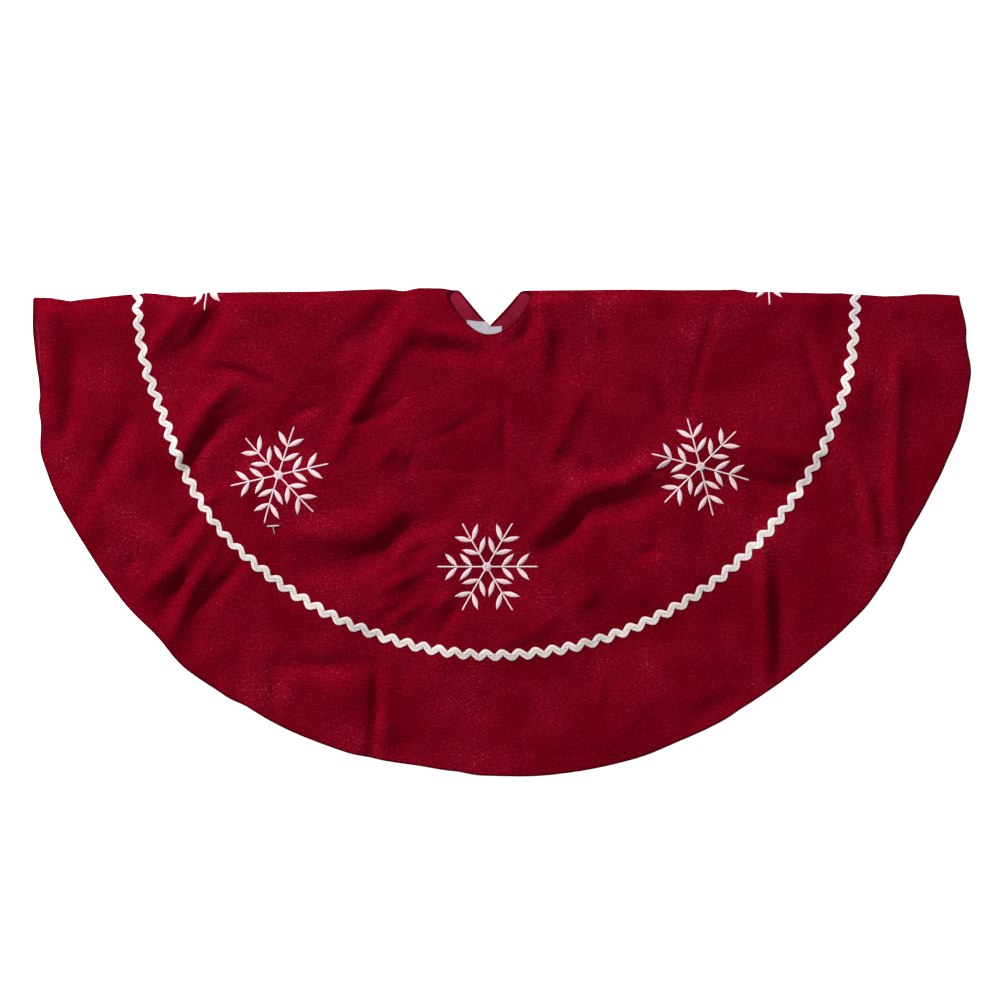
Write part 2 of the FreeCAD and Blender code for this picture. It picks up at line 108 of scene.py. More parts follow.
# Each crease is a polyline over the laid half, then its height and half-width, in millimetres. A
# height above 0 is a ridge, below 0 a valley. The lines of the front half were traced from the
# photo; the heights, the half-widths and the whole back half are guesses.
FRONT_CREASES = [
    # left end, beside the fold
    ([(-424, -5), (-425, -63), (-422, -121)], 3.2, 9),
    ([(-404, -43), (-404, -93), (-412, -138)], -2.4, 6),
    ([(-352, -123), (-368, -153), (-384, -187)], -4.2, 8),
    ([(-340, -153), (-352, -179)], 2.4, 10),
    ([(-396, -153), (-386, -165)], -1.8, 6),
    ([(-364, -191), (-342, -211), (-318, -233)], -3.0, 5),
    ([(-382, -199), (-388, -229)], 2.0, 7),
    ([(-295, -7), (-310, -33), (-330, -57)], 2.8, 8),
    ([(-259, 2), (-268, -23), (-284, -47), (-304, -67)], -5.5, 9),
    ([(-252, -89), (-276, -109), (-291, -133), (-300, -153)], 4.8, 8),
    ([(-236, -111), (-260, -125), (-281, -147), (-294, -168)], -3.0, 7),
    ([(-264, -71), (-240, -77), (-206, -95)], -4.0, 5),
    ([(-206, -95), (-190, -114), (-172, -110)], -3.0, 5),
    ([(-262, -189), (-278, -203)], 2.2, 7),
    # below the left flank
    ([(-340, -289), (-312, -265), (-288, -239), (-272, -213)], 3.8, 8),
    ([(-322, -309), (-308, -290), (-296, -269)], -4.0, 5),
    ([(-309, -329), (-299, -301), (-282, -269), (-268, -249)], 4.0, 6),
    ([(-287, -331), (-280, -303), (-262, -279), (-244, -259)], -4.6, 6),
    ([(-308, -239), (-286, -209)], -2.4, 5),
    ([(-354, -265), (-344, -255)], -2.4, 6),
    ([(-212, -355), (-168, -356), (-118, -353)], -2.8, 7),
    ([(-248, -343), (-243, -399)], -2.4, 8),
    ([(-212, -359), (-210, -401)], -2.8, 6),
    ([(-160, -387), (-140, -379)], 3.2, 16),
    ([(-114, -357), (-114, -399), (-119, -447)], -4.2, 4.5),
    ([(-103, -365), (-106, -443)], 1.8, 8),
    # slope and crescent left of the middle
    ([(-74, -25), (-99, -55), (-124, -95), (-141, -125), (-154, -153)], 4.2, 9),
    ([(-92, 2), (-110, -23), (-124, -45)], -6.0, 9),
    ([(-134, -39), (-156, -63)], -2.4, 9),
    ([(-142, -125), (-118, -119), (-94, -107)], -2.6, 6),
    ([(-110, -149), (-100, -159)], 2.6, 12),
    ([(-88, -161), (-76, -165)], -2.6, 8),
    ([(-190, -229), (-152, -229), (-118, -221), (-92, -205)], 5.2, 14),
    ([(-184, -265), (-136, -263), (-108, -247), (-84, -226), (-58, -219)], -5.0, 9),
    ([(-84, -251), (-60, -241)], -2.2, 5),
    ([(-114, -286), (-90, -274), (-68, -265)], 2.6, 5),
    ([(-118, -303), (-94, -293)], 2.0, 5),
    ([(-102, -317), (-82, -302), (-66, -292)], 2.6, 5),
    ([(-62, -302), (-42, -288)], 2.4, 5),
    ([(-53, -323), (-36, -300)], -2.4, 4),
    ([(-105, -170), (-40, -169), (10, -171)], -1.1, 3.5),
    ([(8, -98), (9, -171)], -1.1, 4),
    ([(-76, -144), (-45, -133), (-12, -114)], -1.3, 4),
    # round the neck
    ([(-80, -33), (-50, -38), (-20, -45)], 3.6, 7),
    ([(-76, -53), (-45, -57), (-18, -60)], -2.6, 6),
    ([(12, -49), (27, -41), (36, -21)], -3.0, 5),
    ([(43, -11), (48, -37), (46, -65)], 2.8, 7),
    ([(62, -49), (56, -87)], -2.0, 8),
    ([(79, 3), (92, -12), (104, -29), (110, -49)], -5.5, 7),
    ([(84, -89), (66, -127), (54, -155)], 2.6, 9),
    # right of the middle
    ([(38, -232), (62, -208), (82, -187), (120, -180), (156, -158)], 5.4, 8),
    ([(50, -249), (72, -230), (83, -212), (126, -204), (168, -184)], -5.0, 8),
    ([(68, -151), (60, -161)], -2.0, 8),
    ([(86, -163), (96, -169)], -2.2, 6),
    ([(244, -143), (280, -156), (304, -153)], 3.2, 9),
    ([(238, -173), (264, -186), (296, -183)], -4.0, 7),
    ([(242, -187), (257, -208)], -2.2, 4),
    ([(205, -207), (219, -235)], -1.6, 4),
    ([(213, -6), (203, -39), (194, -71), (184, -117)], -2.0, 4),
    ([(156, -89), (163, -109), (177, -125)], -2.8, 6),
    ([(294, -39), (304, -75), (314, -111), (321, -139)], -3.0, 5),
    ([(316, -6), (338, -28)], -3.2, 5),
    ([(328, -57), (331, -91)], -2.4, 5),
    ([(138, -250), (156, -244)], -2.8, 5),
    ([(149, -229), (158, -233)], -1.8, 5),
    ([(80, -300), (96, -283)], 2.2, 7),
    ([(62, -271), (66, -295)], -1.8, 6),
    ([(8, -334), (38, -324), (58, -307)], 1.8, 5),
    ([(30, -201), (24, -204)], -1.6, 6),
    ([(-4, -205), (-10, -210)], -1.4, 6),
    # right end
    ([(388, -23), (406, -42), (424, -63)], -3.2, 6),
    ([(384, -59), (381, -133), (379, -203), (384, -245)], 3.6, 6.5),
    ([(343, -159), (357, -208), (365, -267)], 3.0, 5),
    ([(338, -175), (350, -219)], -2.4, 6),
    ([(366, -183), (370, -225)], -1.8, 6),
    ([(358, -87), (361, -103)], -1.8, 6),
    ([(254, -241), (257, -303), (258, -377)], 4.2, 6),
    ([(271, -253), (272, -313), (272, -363)], -2.2, 7),
    ([(264, -223), (296, -255), (346, -296)], 3.4, 12),
    ([(222, -301), (214, -323)], -2.0, 12),
    ([(92, -349), (93, -387)], -1.6, 6),
    ([(111, -365), (105, -399)], -1.6, 6),
    ([(28, -431), (29, -443)], -2.0, 8),
    ([(196, -401), (226, -387)], -2.0, 9),
]

BACK_CREASES = [
    ([(-330, -30), (-300, -180), (-240, -300)], 2.4, 12),
    ([(-180, -60), (-210, -150), (-260, -215)], 2.0, 9),
    ([(-120, -120), (-90, -240), (-100, -360)], 2.4, 11),
    ([(-60, -60), (-30, -180)], 1.8, 10),
    ([(60, -80), (95, -190), (80, -330)], 2.2, 10),
    ([(150, -40), (190, -160), (180, -250)], 2.4, 11),
    ([(250, -70), (235, -220), (260, -330)], 2.0, 9),
    ([(360, -40), (330, -170), (350, -260)], 2.4, 12),
    ([(-390, -120), (-350, -230)], 1.8, 9),
    ([(20, -380), (60, -430)], 1.8, 9),
]

# Where marked places of the front half's pattern lie: the place, how far it is shifted, how far
# round it the shift reaches, and the power of the curve: 2 is a bell, more has a flat top.
FRONT_PINS = [
    ((-258, -14), (-20, -2), 50, 2),        # arms of the snowflakes on the fold
    ((258, -14), (3, 3), 50, 2),
    ((-345, -6), (3, 0), 50, 2),            # the rickrack
    ((-339.7, -60), (3.5, 0), 50, 2),
    ((-324.5, -117), (7, 0), 50, 2),
    ((-302, -166), (3, 1), 50, 2),
    ((345, -6), (-2, 0), 50, 2),
    ((-195.5, -171.4), (-12, -2.0), 76, 6),     # the three snowflakes
    ((0, -260), (-8.6, -1), 76, 6),
    ((195.5, -171.4), (-0.5, 6), 76, 6),
    ((-38, 0), (-9, 0), 60, 2),             # the neck, a round U
    ((-26.9, -26.9), (-4, 2), 60, 2),
    ((0, -38), (-6, -1), 60, 2),
    ((26.9, -26.9), (-7, 2), 60, 2),
    ((38, 0), (-6, 0), 60, 2),
]
# The back half is pulled along with the front one where the snowflake lies on the fold.
BACK_PULLS = [((-258, -34), (-20, 0), 76, 6)]
# The neck of the back half opens to a V at the slit: where its left end, foot and right end lie.
NECK_V = [(-34.4, 0), (-6.2, -30.5), (23, 0)]
NECK_REACH = 26

# How far the rim stands in or out: degrees round from the left end of the fold, then millimetres.
# FRONT_RIM and FOLD_LINE were typed from measured differences to the photo's outline;
# BACK_RIM is a guess, apart from its ends.
FRONT_RIM = [
    (0, -16), (5, -19.5), (10, -16.5), (15, -5.5), (20, 4.5), (24, 5.5), (32, 4), (40, 5), (45, 3),
    (50, 8), (56, 6), (59, 4), (64, 5), (72, 4), (75, 2.2), (81, 0), (85, 1), (88, 3.5), (97, 5.8),
    (107, 7), (113, 5), (118, 5), (121, 3.4), (125, 3.2), (131, 3.4), (136, 4.6), (140, 5.6),
    (143, 4.6), (147, 2), (150, -0.8), (155, 0), (159, 2), (164, 5), (170, 3.4), (175, -6),
    (180, -14)]
BACK_RIM = [
    (0, -14), (5, -12.5), (10, -12), (15, -8), (20, 0), (32, 0), (45, -2), (60, 0), (81, -6),
    (97, 1), (118, 1), (131, -2), (140, 1), (150, -6), (164, 0), (175, -10), (180, -15)]

# The outline of the fold: place along it, and how far it stands out, in millimetres.
FOLD_LINE = [
    (-457, -5), (-439, -5.5), (-430, -7), (-416, -9), (-400, -8), (-366, -7.5), (-345, -7),
    (-336, -5.5), (-318, -5), (-300, -4), (-280, -4), (-268, -3), (-256, 1), (-180, 0.8),
    (-101, 3.4), (-87, 1.6), (-70, 4.6), (-50, 4.4), (-44, 2.6), (28, 0.6), (42, 1.8), (128, 2.8),
    (185, 1.8), (225, 0.5), (243, -3.4), (286, -4.4), (328, -6), (345, -7.5), (371, -7.5),
    (385, -6), (400, -4), (414, -2.2), (430, -2), (457, -3)]
RIM_REACH, FOLD_REACH = 55, 30      # how far in from the rim and the fold these shifts reach


def distance_to_path(x, y, path):
    """Distance of each point from a polyline, and how far along it the nearest place is, 0 to 1."""
    best = np.full(x.shape, 1e9)
    along = np.zeros(x.shape)
    lengths = [math.dist(a, b) for a, b in zip(path, path[1:])]
    total, done = sum(lengths), 0.0
    for (ax, ay), (bx, by), length in zip(path, path[1:], lengths):
        share = ((x - ax) * (bx - ax) + (y - ay) * (by - ay)) / length ** 2
        share = np.clip(share, 0, 1)
        away = np.hypot(x - ax - share * (bx - ax), y - ay - share * (by - ay))
        nearer = away < best
        best = np.where(nearer, away, best)
        along = np.where(nearer, (done + share * length) / total, along)
        done += length
    return best, along


def crease_height(x, y, creases):
    """Height of the creased cloth over the flat one, all in millimetres."""
    height = np.zeros(x.shape)
    for path, rise, width in creases:
        away, along = distance_to_path(x, y, path)
        taper = 0.45 + 0.55 * np.sin(math.pi * np.clip(along, 0, 1))
        height += rise * taper * np.exp(-(away / width) ** 2)
    return height


def soft_waves(x, y, seed, wave_length, strength, count=26):
    """Gentle unevenness made of a few plane waves about one wave length."""
    draw = np.random.default_rng(seed)
    total = np.zeros(x.shape)
    for _ in range(count):
        heading, phase = draw.uniform(0, 2 * math.pi, 2)
        k = 2 * math.pi / (wave_length * draw.uniform(0.7, 1.5))
        total += np.cos(k * (x * math.cos(heading) + y * math.sin(heading)) + phase)
    return strength * total / math.sqrt(count / 2)


def along_list(position, rows):
    """Smooth curve through a list of (place, size)."""
    places, sizes = np.array(rows, float).T
    index = np.clip(np.searchsorted(places, position) - 1, 0, len(places) - 2)
    share = np.clip((position - places[index]) / (places[index + 1] - places[index]), 0, 1)
    ease = share ** 2 * (3 - 2 * share)
    return sizes[index] * (1 - ease) + sizes[index + 1] * ease


def outline_shift(x, y, rim):
    """Shift near the rim and near the fold, in millimetres."""
    radius = np.hypot(x, y)
    around = np.degrees(np.arctan2(abs(y), -x))
    stand = along_list(around, rim) * np.exp(-((SKIRT_RADIUS / MM - radius) / RIM_REACH) ** 2)
    fold = along_list(x, FOLD_LINE) * np.exp(-(y / FOLD_REACH) ** 2)
    radius = np.maximum(radius, 1)
    return stand * x / radius, stand * y / radius + fold


def bells(x, y, pins):
    """One curve round each pin, 1 at the pin and falling to 0."""
    curves = [np.exp(-(np.hypot(x - place[0], y - place[1]) / reach) ** power)
              for place, _, reach, power in pins]
    return np.stack(curves, axis=-1)


def pin_shift(x, y, pins, rim):
    """Shift along the ground: the outline's, and on top of it curves that meet every pin."""
    places = np.array([pin[0] for pin in pins], float)
    wanted = np.array([pin[1] for pin in pins], float)
    already = np.stack(outline_shift(places[:, 0], places[:, 1], rim), axis=-1)
    strength = np.linalg.solve(bells(places[:, 0], places[:, 1], pins), wanted - already)
    pulled = bells(x, y, pins) @ strength
    dx, dy = outline_shift(x, y, rim)
    return dx + pulled[..., 0], dy + pulled[..., 1]


def neck_shift(x, y, rim):
    """Shift along the ground: the outline's, and the neck drawn straight to the foot of its V."""
    neck = HOLE_RADIUS / MM
    radius = np.maximum(np.hypot(x, y), 1)
    quarters = np.arctan2(abs(y), -x) / (math.pi / 2)
    lines = np.array(NECK_V, float)
    pull_x = np.interp(quarters, [0, 1, 2], lines[:, 0]) - neck * x / radius
    pull_y = np.interp(quarters, [0, 1, 2], lines[:, 1]) - neck * y / radius
    fade = np.exp(-(np.maximum(radius - neck, 0) / NECK_REACH) ** 2)
    dx, dy = outline_shift(x, y, rim)
    return dx + fade * pull_x, dy + fade * pull_y


# --- the laid shape of each half --------------------------------------------------------------

CELL = 3.0                       # spacing of the shape grids, millimetres
REACH = 471.0                    # they run a little past the rim

grid_x = np.arange(-REACH, REACH + CELL / 2, CELL)
grid_y = np.arange(-REACH, 5 * CELL + CELL / 2, CELL)
GX, GY = np.meshgrid(grid_x, grid_y)
FLAT_GRID = np.stack([GX, GY, 0 * GX], axis=-1) * MM
SIM_STEP = 2                     # the cloth is simulated on every second point
SETTLE_FRAMES = 20
FRONT_GAIN, BACK_GAIN = 1.45, 0.6    # how strongly each half's creases are drawn
FRONT_RISE = 4.0                 # the front half's valleys are cut off this far below its middle
FRONT_TOP = 9.5                  # and its ridges at this height, millimetres
FOLD_CALM = 0.75                 # share of the front half's height that is lost at the fold
CONTACT = 2.8                    # how far the simulated cloth keeps from the ground, millimetres
PAST_HOLE, PAST_RIM = 8, 12      # how far it runs past the finished cloth, millimetres
HELD_FOLD, HELD_NECK = 8 * MM, 6 * MM    # it is held this near the fold and the hole
CLOTH_WEIGHT = 0.4               # kilograms for each square metre
SAG = 1.5                        # how far the front half sinks between its supports, millimetres
SAG_REACH = 40                   # its supports are the fold, this far in, and the closure tabs
TAB_REACH = (45, 32)             # with this much round them
CALM_REACH = 9.0                 # the fold itself is flat this far in
BROAD_WAVES, FINE_WAVES = (120, 0.8), (45, 0.25)    # unevenness: wave length and strength


def creased(shift, creases, seed, loft):
    """Height of a half as laid by hand, in millimetres; creases run where the cloth now lies."""
    height = crease_height(GX + shift[0], GY + shift[1], creases)
    broad = soft_waves(GX, GY, seed, BROAD_WAVES[0], BROAD_WAVES[1] * loft)
    fine = soft_waves(GX, GY, seed + 1, FINE_WAVES[0], FINE_WAVES[1] * loft)
    return height + broad + fine


def settle(height, lowest):
    """Keep a height above what it lies on, with a soft knee instead of a cut."""
    softness = 0.8
    return lowest + softness * np.logaddexp(0, (height - lowest) / softness)


class Shape:
    """Displacements of one half on the grid, read back through a cubic B-spline."""

    def __init__(self, dx, dy, dz):
        self.values = np.stack([dx, dy, dz], axis=-1) * MM

    def at(self, x, y):
        column = np.clip((x / MM - grid_x[0]) / CELL, 1, len(grid_x) - 3.001)
        row = np.clip((y / MM - grid_y[0]) / CELL, 1, len(grid_y) - 3.001)
        i, j = np.floor(column).astype(int), np.floor(row).astype(int)
        a, b = column - i, row - j
        total = np.zeros(x.shape + (3,))
        for m, weight_x in enumerate(spline_weights(a)):
            for n, weight_y in enumerate(spline_weights(b)):
                total += (weight_x * weight_y)[..., None] * self.values[j + n - 1, i + m - 1]
        return total


def spline_weights(t):
    return ((1 - t) ** 3 / 6, (3 * t ** 3 - 6 * t ** 2 + 4) / 6,
            (-3 * t ** 3 + 3 * t ** 2 + 3 * t + 1) / 6, t ** 3 / 6)


def near_fold(y):
    """1 at the fold, falling to 0 within a few centimetres."""
    return np.exp(-(y / CALM_REACH) ** 2)


def front_shape():
    shift = pin_shift(GX, GY, FRONT_PINS, FRONT_RIM)
    height = settle(FRONT_GAIN * creased(shift, FRONT_CREASES, 11, 1.0) + FRONT_RISE, 0.0)
    height = FRONT_TOP - settle(FRONT_TOP - height, 0.0)
    height *= 1 - FOLD_CALM * near_fold(GY)
    return Shape(*shift, height)


def back_shape():
    dx, dy = neck_shift(GX, GY, BACK_RIM)
    pulled = bells(GX, GY, BACK_PULLS) @ np.array([pull[1] for pull in BACK_PULLS], float)
    shift = (dx + pulled[..., 0], dy + pulled[..., 1])
    height = settle(BACK_GAIN * creased(shift, BACK_CREASES, 23, 0.7), 0.0)
    height *= 1 - near_fold(GY)
    return Shape(*shift, height + TRIM_ROOM)


def sag():
    """How far the front half comes down onto the back half, away from the fold and the closure."""
    down = SAG * (1 - np.exp(-(GY / SAG_REACH) ** 2))
    for tab in ("closure_tab_1", "closure_tab_2", "closure_tab_3"):
        low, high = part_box(tab)
        middle = (low + high) / 2 / MM
        down *= 1 - np.exp(-((GX - middle.x) / TAB_REACH[0]) ** 2
                           - ((GY - middle.y) / TAB_REACH[1]) ** 2)
    return down


def cloth_grid(shape):
    """Half ring of cloth in its laid shape, every second point of the shape grid."""
    picked = np.zeros(GX.shape, bool)
    picked[::SIM_STEP, ::SIM_STEP] = True
    radius = np.hypot(GX, GY)
    picked &= (radius < SKIRT_RADIUS / MM + PAST_RIM) & (radius > HOLE_RADIUS / MM - PAST_HOLE)
    index = np.full(GX.shape, -1)
    index[picked] = np.arange(picked.sum())
    flat = FLAT_GRID[picked]
    corners = [index[:-SIM_STEP, :-SIM_STEP], index[:-SIM_STEP, SIM_STEP:],
               index[SIM_STEP:, SIM_STEP:], index[SIM_STEP:, :-SIM_STEP]]
    quads = np.stack(corners, axis=-1).reshape(-1, 4)
    faces = quads[(quads >= 0).all(axis=1)]
    mesh = bpy.data.meshes.new("laid_cloth")
    mesh.from_pydata([tuple(p) for p in flat + shape.values[picked]], [], [tuple(f) for f in faces])
    obj = link_object("laid_cloth", mesh)
    held = obj.vertex_groups.new(name="held")
    near = (flat[:, 1] > -HELD_FOLD) | (np.hypot(flat[:, 0], flat[:, 1]) < HOLE_RADIUS + HELD_NECK)
    held.add([int(n) for n in np.flatnonzero(near)], 1.0, "REPLACE")
    return obj, picked


def let_settle(shape, level, frames):
    """Let the laid cloth settle under its own weight on flat ground, at a level in millimetres."""
    cloth, picked = cloth_grid(shape)
    bpy.ops.mesh.primitive_plane_add(size=2, location=(0, -0.2, (level - CONTACT) * MM))
    ground = bpy.context.object
    ground.modifiers.new("ground", "COLLISION")
    ground.collision.thickness_outer = 0.5 * MM
    ground.collision.cloth_friction = 20
    modifier = cloth.modifiers.new("settle", "CLOTH")
    fabric = modifier.settings
    fabric.quality = 6
    fabric.mass = CLOTH_WEIGHT * (SIM_STEP * CELL * MM) ** 2
    fabric.tension_stiffness = fabric.compression_stiffness = 20
    fabric.shear_stiffness = 8
    fabric.bending_stiffness = 3
    fabric.vertex_group_mass = "held"
    modifier.collision_settings.distance_min = 0.6 * MM
    modifier.point_cache.frame_start, modifier.point_cache.frame_end = 1, frames
    scene = bpy.context.scene
    for frame_number in range(1, frames + 1):
        scene.frame_set(frame_number)
    bpy.ops.object.select_all(action="DESELECT")
    bpy.context.view_layer.objects.active = cloth
    cloth.select_set(True)
    bpy.ops.object.modifier_apply(modifier="settle")
    settled = np.array([vertex.co for vertex in cloth.data.vertices])
    before = FLAT_GRID[picked] + shape.values[picked]
    moved = np.zeros(GX.shape + (3,))
    moved[picked] = settled - before
    for leftover in (cloth, ground):
        bpy.data.objects.remove(leftover, do_unlink=True)
    scene.frame_set(1)
    spread(moved, picked)
    shape.values += moved


def spread(moved, picked):
    """Fill the points between the simulated ones from their neighbours, along each axis in turn."""
    known = picked.astype(float)
    for axis in (0, 1):
        kept = moved * known[..., None]
        total = np.roll(kept, 1, axis) + np.roll(kept, -1, axis)
        neighbours = np.roll(known, 1, axis) + np.roll(known, -1, axis)
        gap = (known == 0) & (neighbours > 0)
        moved[gap] = total[gap] / neighbours[gap][:, None]
        known[gap] = 1


BACK = back_shape()
FRONT = front_shape()
let_settle(BACK, TRIM_ROOM, SETTLE_FRAMES)
let_settle(FRONT, 0.0, SETTLE_FRAMES)
# The front half takes up the shape of the back half under it.
FRONT.values[..., 2] += BACK.values[..., 2] - (sag() + TRIM_ROOM) * MM


# --- laying a flat pattern over the folded shape ----------------------------------------------

def surface(u, v):
    """Place of the velvet's face for pattern points, and how far it has gone round the fold."""
    turn = math.pi / 2 * (1 + np.clip(v / FOLD_RUN, -1, 1))
    half = STACK / 2
    beyond = np.maximum(np.abs(v) - FOLD_RUN, 0)
    y = -FOLD_RUN + half * np.sin(turn) - beyond
    z = half + half * np.cos(turn)
    share = ((1 - np.cos(turn)) / 2)[..., None]
    flat_y = -np.maximum(np.abs(v), FOLD_RUN)
    shift = (1 - share) * FRONT.at(u, flat_y) + share * BACK.at(u, flat_y)
    return np.stack([u, y, z], axis=-1) + shift


def drape(points):
    """Rest positions of flat pattern points (u, v, h)."""
    points = np.asarray(points, float)
    u, v, h = points[:, 0], points[:, 1], points[:, 2]
    step = 0.4 * MM
    across = surface(u + step, v) - surface(u - step, v)
    along = surface(u, v + step / 4) - surface(u, v - step / 4)
    normal = np.cross(across, along)
    normal /= np.linalg.norm(normal, axis=1)[:, None]
    return surface(u, v) + h[:, None] * normal


# --- meshes -----------------------------------------------------------------------------------

class Pattern:
    """A mesh drawn on the flat pattern, gathered piece by piece."""

    def __init__(self):
        self.points, self.faces, self.marks = [], [], []
        self.count = 0

    def add(self, points, faces, marks=None):
        """Add points, the faces that join them, and places along and across the stitches."""
        self.faces += [tuple(int(corner) + self.count for corner in face) for face in faces]
        self.points.append(points)
        self.marks.append(np.zeros((len(points), 2)) if marks is None else marks)
        self.count += len(points)

    def arrays(self):
        return np.concatenate(self.points), self.faces, np.concatenate(self.marks)


def strip_faces(rows, columns, closed=False):
    """Quads between neighbouring rows of a grid of points."""
    strips = rows if closed else rows - 1
    i, j = np.meshgrid(np.arange(strips), np.arange(columns - 1), indexing="ij")
    k = (i + 1) % rows
    return np.stack([i * columns + j, i * columns + j + 1, k * columns + j + 1, k * columns + j],
                    axis=-1).reshape(-1, 4)


def hose_faces(rows, around):
    """Quads between neighbouring rows of points, each row a closed ring."""
    i, j = np.meshgrid(np.arange(rows - 1), np.arange(around), indexing="ij")
    k = (j + 1) % around
    return np.stack([i * around + j, i * around + k, (i + 1) * around + k, (i + 1) * around + j],
                    axis=-1).reshape(-1, 4)


def make_object(name, points, faces, marks, material):
    mesh = bpy.data.meshes.new(name)
    mesh.from_pydata([tuple(p) for p in points], [], faces)
    mesh.validate()
    layer = mesh.attributes.new("stitch", "FLOAT_VECTOR", "POINT")
    flat = np.zeros((len(points), 3), np.float32)
    flat[:, :marks.shape[1]] = marks
    layer.data.foreach_set("vector", flat.ravel())
    mesh.materials.append(material)
    mesh.shade_smooth()
    mesh.set_sharp_from_angle(angle=SHEET_SHARP)
    return link_object(name, mesh)


def close_mesh(obj):
    """Point all faces outwards."""
    work = bmesh.new()
    work.from_mesh(obj.data)
    bmesh.ops.recalc_face_normals(work, faces=work.faces)
    work.to_mesh(obj.data)
    work.free()


# --- velvet and lining ------------------------------------------------------------------------

FRONT_BODY, BACK_BODY = "front_half", "back_half"


def border(run, radius):
    """Angle at the centre of a border line that passes the centre at a small distance."""
    return np.arcsin(np.clip(run / radius, -1, 1))


# Each sector of the circle: its first and last angle at a radius, counted from +u.
SECTORS = {
    "back_right": (lambda r: border(FOLD_RUN, r), lambda r: math.pi / 2 - border(SLIT, r)),
    "back_left": (lambda r: math.pi / 2 + border(SLIT, r), lambda r: math.pi - border(FOLD_RUN, r)),
    "fold_left": (lambda r: math.pi - border(FOLD_RUN, r), lambda r: math.pi + border(FOLD_RUN, r)),
    "front": (lambda r: math.pi + border(FOLD_RUN, r), lambda r: 2 * math.pi - border(FOLD_RUN, r)),
    "fold_right": (lambda r: -border(FOLD_RUN, r), lambda r: border(FOLD_RUN, r)),
}
FOLD_STEPS = 24
TRIM_FOLD_STEPS = 14


def sector(name, profile, faces_across):
    """Closed shell of one sector: a closed profile of (radius, height), swept round the hole.

    The first half of the profile is the outer face and the second half the inner face, in mirror
    order, so that the end caps join them point by point.
    """
    first, last = SECTORS[name]
    radius, height = np.array(profile).T
    columns = faces_across + 1
    share = np.linspace(0, 1, columns)[:, None]
    angle = first(radius)[None] * (1 - share) + last(radius)[None] * share
    points = grid_points(radius * np.cos(angle), radius * np.sin(angle), height)
    count = len(profile)
    caps = []
    for column in (0, columns - 1):
        start = column * count
        caps += [(start + n, start + n + 1, start + count - 2 - n, start + count - 1 - n)
                 for n in range(count // 2 - 1)]
    return points, np.concatenate([hose_faces(columns, count), np.array(caps)])


def shell_profile(inner, outer, top, bottom, edge, lips):
    """Cross-section of a cloth layer from the hole to the rim, with rounded edges.

    Within the lips, at the hole and at the rim, the layer is as thick as its rounded edge.
    """
    rings = np.linspace(inner + edge, outer - edge, round((outer - inner) / GRID))
    rings = np.insert(rings, [1, len(rings) - 1], [inner + lips[0], outer - lips[1]])
    arc = np.radians([90, 60, 30, 0])
    rim = [(outer - edge + edge * math.cos(a), top - edge + edge * math.sin(a)) for a in arc[1:]]
    hole = [(inner + edge - edge * math.cos(a), top - edge + edge * math.sin(a)) for a in arc[1:]]
    upper = hole[::-1] + [(r, top) for r in rings] + rim
    lower_level = np.full(len(rings), bottom)
    lower_level[:2] = lower_level[-2:] = top - 2 * edge
    mirrored = [(r, 2 * (top - edge) - h) for r, h in upper]
    lower = mirrored[:len(hole)] + list(zip(rings, lower_level)) + mirrored[-len(rim):]
    return upper + lower[::-1]


def cloth_sector(layer, name, profile, material):
    arc = math.pi / 2 if name.startswith("back") else math.pi
    across = FOLD_STEPS if name.startswith("fold") else round(arc * SKIRT_RADIUS / GRID)
    points, faces = sector(name, profile, across)
    obj = make_object(f"{layer}_{name}", drape(points), [tuple(f) for f in faces], points, material)
    close_mesh(obj)
    obj.data.set_sharp_from_angle(angle=SHEET_SHARP)
    return obj


def build_cloth(layer, profile, material):
    return {name: cloth_sector(layer, name, profile, material) for name in SECTORS}


# --- materials --------------------------------------------------------------------------------

